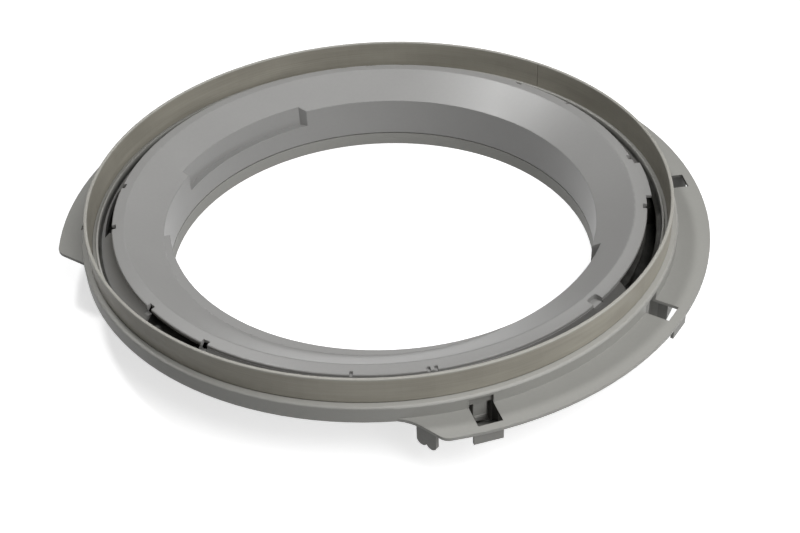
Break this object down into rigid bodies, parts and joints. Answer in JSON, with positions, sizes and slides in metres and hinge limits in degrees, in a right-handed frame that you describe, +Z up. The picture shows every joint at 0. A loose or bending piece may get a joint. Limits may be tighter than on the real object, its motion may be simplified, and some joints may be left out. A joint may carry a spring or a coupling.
{
  "type": "dryer drum glide ring",
  "caption": "Front bearing ring of a tumble dryer: a moulded ring with a flange holds a slippery drum glide strip on edge, round a coned duct shroud and an open door tunnel.",
  "frame": {"origin": "on the ring's axis, in the plane of the door tunnel's foot, which is the lowest face", "axes": "+Z up the ring's axis, from the tunnel's foot to the glide strip's free edge; +Y away from the picture's camera; the flange's square front end lies towards -Y"},
  "size_m": [0.533, 0.5299, 0.078],
  "materials": {
    "bearing_ring": "moulded, fine satin grain",
    "drum_glide": "dense pressed strip with fine running marks",
    "duct_shroud": "moulded, satin with a soft sheen"
  },
  "bodies": {
    "root": {"bearing_ring": "bearing_ring", "drum_glide": "drum_glide", "duct_shroud": "duct_shroud"}
  },
  "joints": []
}
